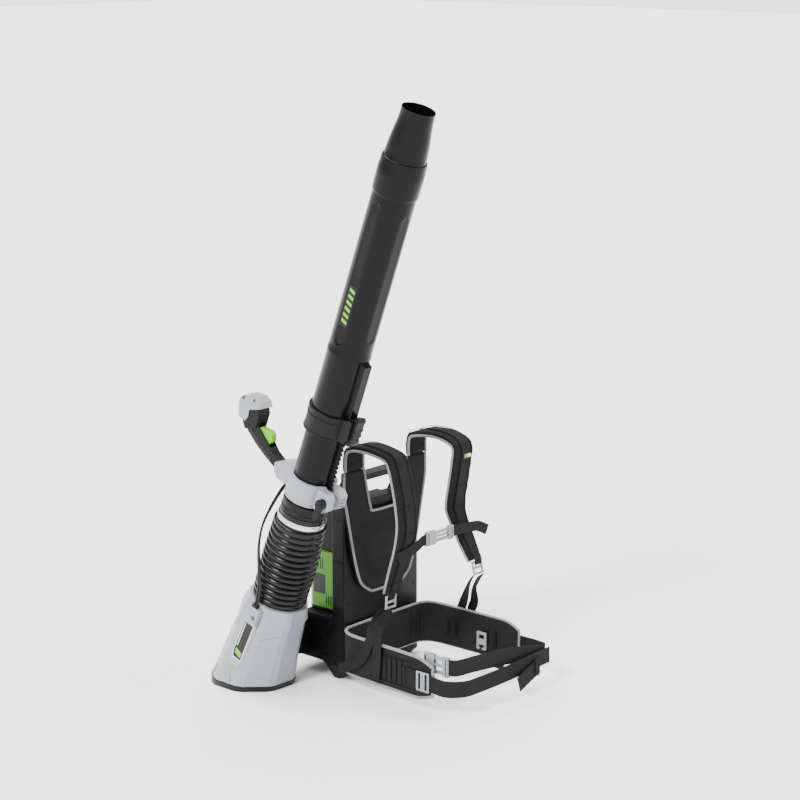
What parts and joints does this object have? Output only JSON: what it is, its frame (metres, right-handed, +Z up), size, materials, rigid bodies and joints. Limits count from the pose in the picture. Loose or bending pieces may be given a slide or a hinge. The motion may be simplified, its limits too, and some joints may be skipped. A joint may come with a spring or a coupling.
{
  "type": "backpack leaf blower",
  "caption": "Battery leaf blower worn on the back: upright frame with padded harness and belt, fan unit at the side, pleated hose and telescoping blow tube with a trigger grip.",
  "frame": {"origin": "on the ground under the front edge of the frame's base, on the frame's middle plane", "axes": "+Z up, -Y the way the wearer faces, -X the wearer's right-hand side, where the fan unit stands"},
  "size_m": [0.5067, 0.6478, 1.3263],
  "materials": {
    "black_plastic": "moulded black nylon, fine grain",
    "tube_plastic": "smooth extruded black plastic, satin",
    "grey_plastic": "moulded cool grey plastic, fine grain",
    "green_plastic": "moulded bright green plastic, satin",
    "rubber": "black rubber, dull",
    "fabric": "charcoal woven cover over foam",
    "webbing": "woven polyester webbing",
    "steel": "bright rolled steel",
    "aluminium": "turned aluminium",
    "circuit_board": "lacquered circuit board"
  },
  "bodies": {
    "frame": {"back_frame": "black_plastic", "back_pad": "fabric", "base_block": "black_plastic", "base_lip": "rubber", "cable_boss": "grey_plastic", "cable_gland": "rubber", "control_cable_front": "rubber", "control_cable_rear": "rubber", "controller_board": "circuit_board", "controller_cover": "black_plastic", "fan_bracket": "black_plastic", "fan_duct": "black_plastic", "fan_housing_front": "grey_plastic", "fan_housing_rear": "grey_plastic", "hip_back_panel": "fabric", "hip_buckle_female": "grey_plastic", "hip_slide": "grey_plastic", "hip_tail": "webbing", "hip_webbing_left": "webbing", "hip_webbing_right": "webbing", "hip_wing_left": "fabric", "hip_wing_right": "fabric", "hose_lower": "rubber", "intake_grille": "black_plastic", "motor": "aluminium", "rear_panel": "black_plastic", "shoulder_strap_left": "fabric", "shoulder_strap_right": "fabric", "sternum_buckle_female": "grey_plastic", "sternum_webbing_left": "webbing", "sternum_webbing_right": "webbing", "strap_slide_left": "grey_plastic", "strap_slide_right": "grey_plastic", "strap_tail_left": "webbing", "strap_tail_right": "webbing", "strap_webbing_left": "webbing", "strap_webbing_right": "webbing", "tail_cone": "black_plastic"},
    "fan": {"impeller": "black_plastic", "motor_shaft": "steel"},
    "battery": {"battery": "green_plastic"},
    "battery_latch": {"battery_latch": "black_plastic"},
    "hose_middle": {"hose_middle": "rubber"},
    "tube": {"hose_upper": "rubber", "hose_cuff": "black_plastic", "hose_band": "steel", "rear_tube": "tube_plastic"},
    "handle": {"clamp_ring": "grey_plastic", "clamp_bolt": "steel", "handle_grip": "black_plastic", "head_cover": "grey_plastic"},
    "clamp_lever": {"clamp_lever": "black_plastic"},
    "trigger": {"trigger": "green_plastic"},
    "power_button": {"power_button": "black_plastic"},
    "front": {"front_tube": "tube_plastic", "tube_collar": "black_plastic"},
    "collar_latch": {"collar_latch": "black_plastic"},
    "nozzle": {"nozzle": "tube_plastic"},
    "sternum_clip": {"sternum_buckle_male": "grey_plastic"},
    "hip_clip": {"hip_buckle_male": "grey_plastic"}
  },
  "joints": [
    {"name": "fan_spin", "type": "hinge", "parent": "frame", "child": "fan", "pos_m": [-0.249, 0.10761, 0.06348], "axis": [0, -0.3486, 0.9373], "continuous": true},
    {"name": "battery_slide", "type": "slide", "parent": "frame", "child": "battery", "axis": [0, 1, 0], "range_m": [0, 0.1]},
    {"name": "battery_latch_turn", "type": "hinge", "parent": "frame", "child": "battery_latch", "pos_m": [0, 0.1092, 0.302], "axis": [1, 0, 0], "range_deg": [0, 20], "stiffness_Nm_per_rad": 0.1, "springref_deg": -5.73},
    {"name": "boom_tilt", "type": "hinge", "parent": "frame", "child": "hose_middle", "pos_m": [-0.249, 0.02919, 0.27437], "axis": [1, 0, 0], "range_deg": [-8, 40], "deforming": ["hose_lower", "control_cable_front", "control_cable_rear"]},
    {"name": "boom_swing", "type": "hinge", "parent": "hose_middle", "child": "tube", "pos_m": [-0.249, -0.00863, 0.37607], "axis": [0, 0.9373, 0.3486], "range_deg": [-15, 4], "deforming": ["hose_upper", "hose_lower", "control_cable_front", "control_cable_rear"]},
    {"name": "handle_slide", "type": "slide", "parent": "tube", "child": "handle", "axis": [0, -0.3486, 0.9373], "range_m": [0, 0.03], "deforming": ["control_cable_front", "control_cable_rear"]},
    {"name": "clamp_lever_turn", "type": "hinge", "parent": "handle", "child": "clamp_lever", "pos_m": [-0.249, -0.11298, 0.46156], "axis": [-1, 0, 0], "range_deg": [0, 90]},
    {"name": "trigger_pull", "type": "hinge", "parent": "handle", "child": "trigger", "pos_m": [-0.249, 0.0992, 0.58528], "axis": [1, 0, 0], "range_deg": [0, 12], "stiffness_Nm_per_rad": 0.5, "springref_deg": -8.59},
    {"name": "power_button_press", "type": "slide", "parent": "handle", "child": "power_button", "axis": [-1, 0, 0], "range_m": [0, 0.0015], "stiffness_N_per_m": 300, "springref_m": -0.0005},
    {"name": "tube_extend", "type": "slide", "parent": "tube", "child": "front", "axis": [0, -0.3486, 0.9373], "range_m": [-0.08, 0.04]},
    {"name": "collar_latch_press", "type": "hinge", "parent": "front", "child": "collar_latch", "pos_m": [-0.249, -0.18199, 0.64714], "axis": [-1, 0, 0], "range_deg": [0, 10], "stiffness_Nm_per_rad": 0.5, "springref_deg": -8.59},
    {"name": "nozzle_twist", "type": "hinge", "parent": "front", "child": "nozzle", "pos_m": [-0.249, -0.31764, 1.20696], "axis": [0, -0.3486, 0.9373], "range_deg": [0, 25]},
    {"name": "sternum_release", "type": "slide", "parent": "frame", "child": "sternum_clip", "axis": [1, 0, 0], "range_m": [0, 0.02], "deforming": ["sternum_webbing_left"]},
    {"name": "hip_release", "type": "slide", "parent": "frame", "child": "hip_clip", "axis": [0, -1, 0], "range_m": [0, 0.02], "deforming": ["hip_webbing_left"]}
  ]
}
